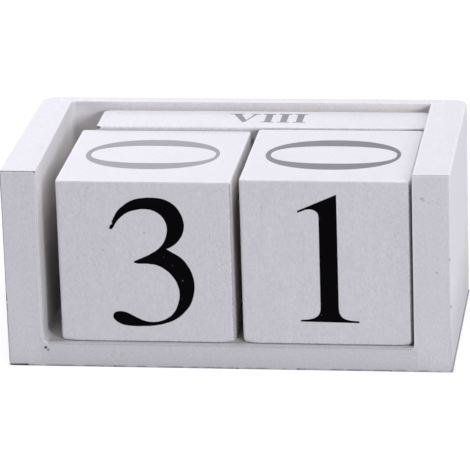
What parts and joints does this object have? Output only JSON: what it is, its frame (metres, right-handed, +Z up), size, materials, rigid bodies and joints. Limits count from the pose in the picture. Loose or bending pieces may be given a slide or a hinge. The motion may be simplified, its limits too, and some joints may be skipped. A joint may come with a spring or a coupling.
{
  "type": "desk block calendar",
  "caption": "Open-fronted painted wooden tray holding two loose date cubes, with a pile of thin month strips lying behind them.",
  "frame": {"origin": "on the supporting surface, under the middle of the tray", "axes": "+X to the right as the calendar is read, along its width; -Y out of the open front, towards the reader; +Z up"},
  "size_m": [0.1308, 0.0754, 0.0602],
  "materials": {
    "tray_paint": "matt white paint over wood, brushed thin",
    "cube_paint": "matt white paint over wood",
    "strip_paint": "matt white paint over wood",
    "dowel_wood": "bare beech",
    "numeral_ink": "matt black printed ink",
    "month_ink": "matt grey printed ink"
  },
  "bodies": {
    "tray": {"base_board": "tray_paint", "left_side": "tray_paint", "right_side": "tray_paint", "back_board": "tray_paint", "left_dowels": "dowel_wood", "right_dowels": "dowel_wood"},
    "tens_cube": {"tens_cube": "cube_paint"},
    "units_cube": {"units_cube": "cube_paint"},
    "month_strip_12": {"month_strip_12": "strip_paint"},
    "month_strip_11": {"month_strip_11": "strip_paint"},
    "month_strip_10": {"month_strip_10": "strip_paint"},
    "month_strip_09": {"month_strip_09": "strip_paint"},
    "month_strip_08": {"month_strip_08": "strip_paint"},
    "month_strip_07": {"month_strip_07": "strip_paint"},
    "month_strip_06": {"month_strip_06": "strip_paint"},
    "month_strip_05": {"month_strip_05": "strip_paint"},
    "month_strip_04": {"month_strip_04": "strip_paint"},
    "month_strip_03": {"month_strip_03": "strip_paint"},
    "month_strip_02": {"month_strip_02": "strip_paint"},
    "month_strip_01": {"month_strip_01": "strip_paint"}
  },
  "joints": [
    {"name": "tens_cube_lift", "type": "slide", "parent": "tray", "child": "tens_cube", "axis": [0, 0, 1], "range_m": [0, 0.06]},
    {"name": "units_cube_lift", "type": "slide", "parent": "tray", "child": "units_cube", "axis": [0, 0, 1], "range_m": [0, 0.06]},
    {"name": "month_strip_12_lift", "type": "slide", "parent": "tray", "child": "month_strip_12", "axis": [0, 0, 1], "range_m": [0, 0.056]},
    {"name": "month_strip_11_lift", "type": "slide", "parent": "month_strip_12", "child": "month_strip_11", "axis": [0, 0, 1], "range_m": [0, 0.052]},
    {"name": "month_strip_10_lift", "type": "slide", "parent": "month_strip_11", "child": "month_strip_10", "axis": [0, 0, 1], "range_m": [0, 0.048]},
    {"name": "month_strip_09_lift", "type": "slide", "parent": "month_strip_10", "child": "month_strip_09", "axis": [0, 0, 1], "range_m": [0, 0.044]},
    {"name": "month_strip_08_lift", "type": "slide", "parent": "month_strip_09", "child": "month_strip_08", "axis": [0, 0, 1], "range_m": [0, 0.04]},
    {"name": "month_strip_07_lift", "type": "slide", "parent": "month_strip_08", "child": "month_strip_07", "axis": [0, 0, 1], "range_m": [0, 0.035]},
    {"name": "month_strip_06_lift", "type": "slide", "parent": "month_strip_07", "child": "month_strip_06", "axis": [0, 0, 1], "range_m": [0, 0.031]},
    {"name": "month_strip_05_lift", "type": "slide", "parent": "month_strip_06", "child": "month_strip_05", "axis": [0, 0, 1], "range_m": [0, 0.027]},
    {"name": "month_strip_04_lift", "type": "slide", "parent": "month_strip_05", "child": "month_strip_04", "axis": [0, 0, 1], "range_m": [0, 0.023]},
    {"name": "month_strip_03_lift", "type": "slide", "parent": "month_strip_04", "child": "month_strip_03", "axis": [0, 0, 1], "range_m": [0, 0.018]},
    {"name": "month_strip_02_lift", "type": "slide", "parent": "month_strip_03", "child": "month_strip_02", "axis": [0, 0, 1], "range_m": [0, 0.014]},
    {"name": "month_strip_01_lift", "type": "slide", "parent": "month_strip_02", "child": "month_strip_01", "axis": [0, 0, 1], "range_m": [0, 0.01]}
  ]
}
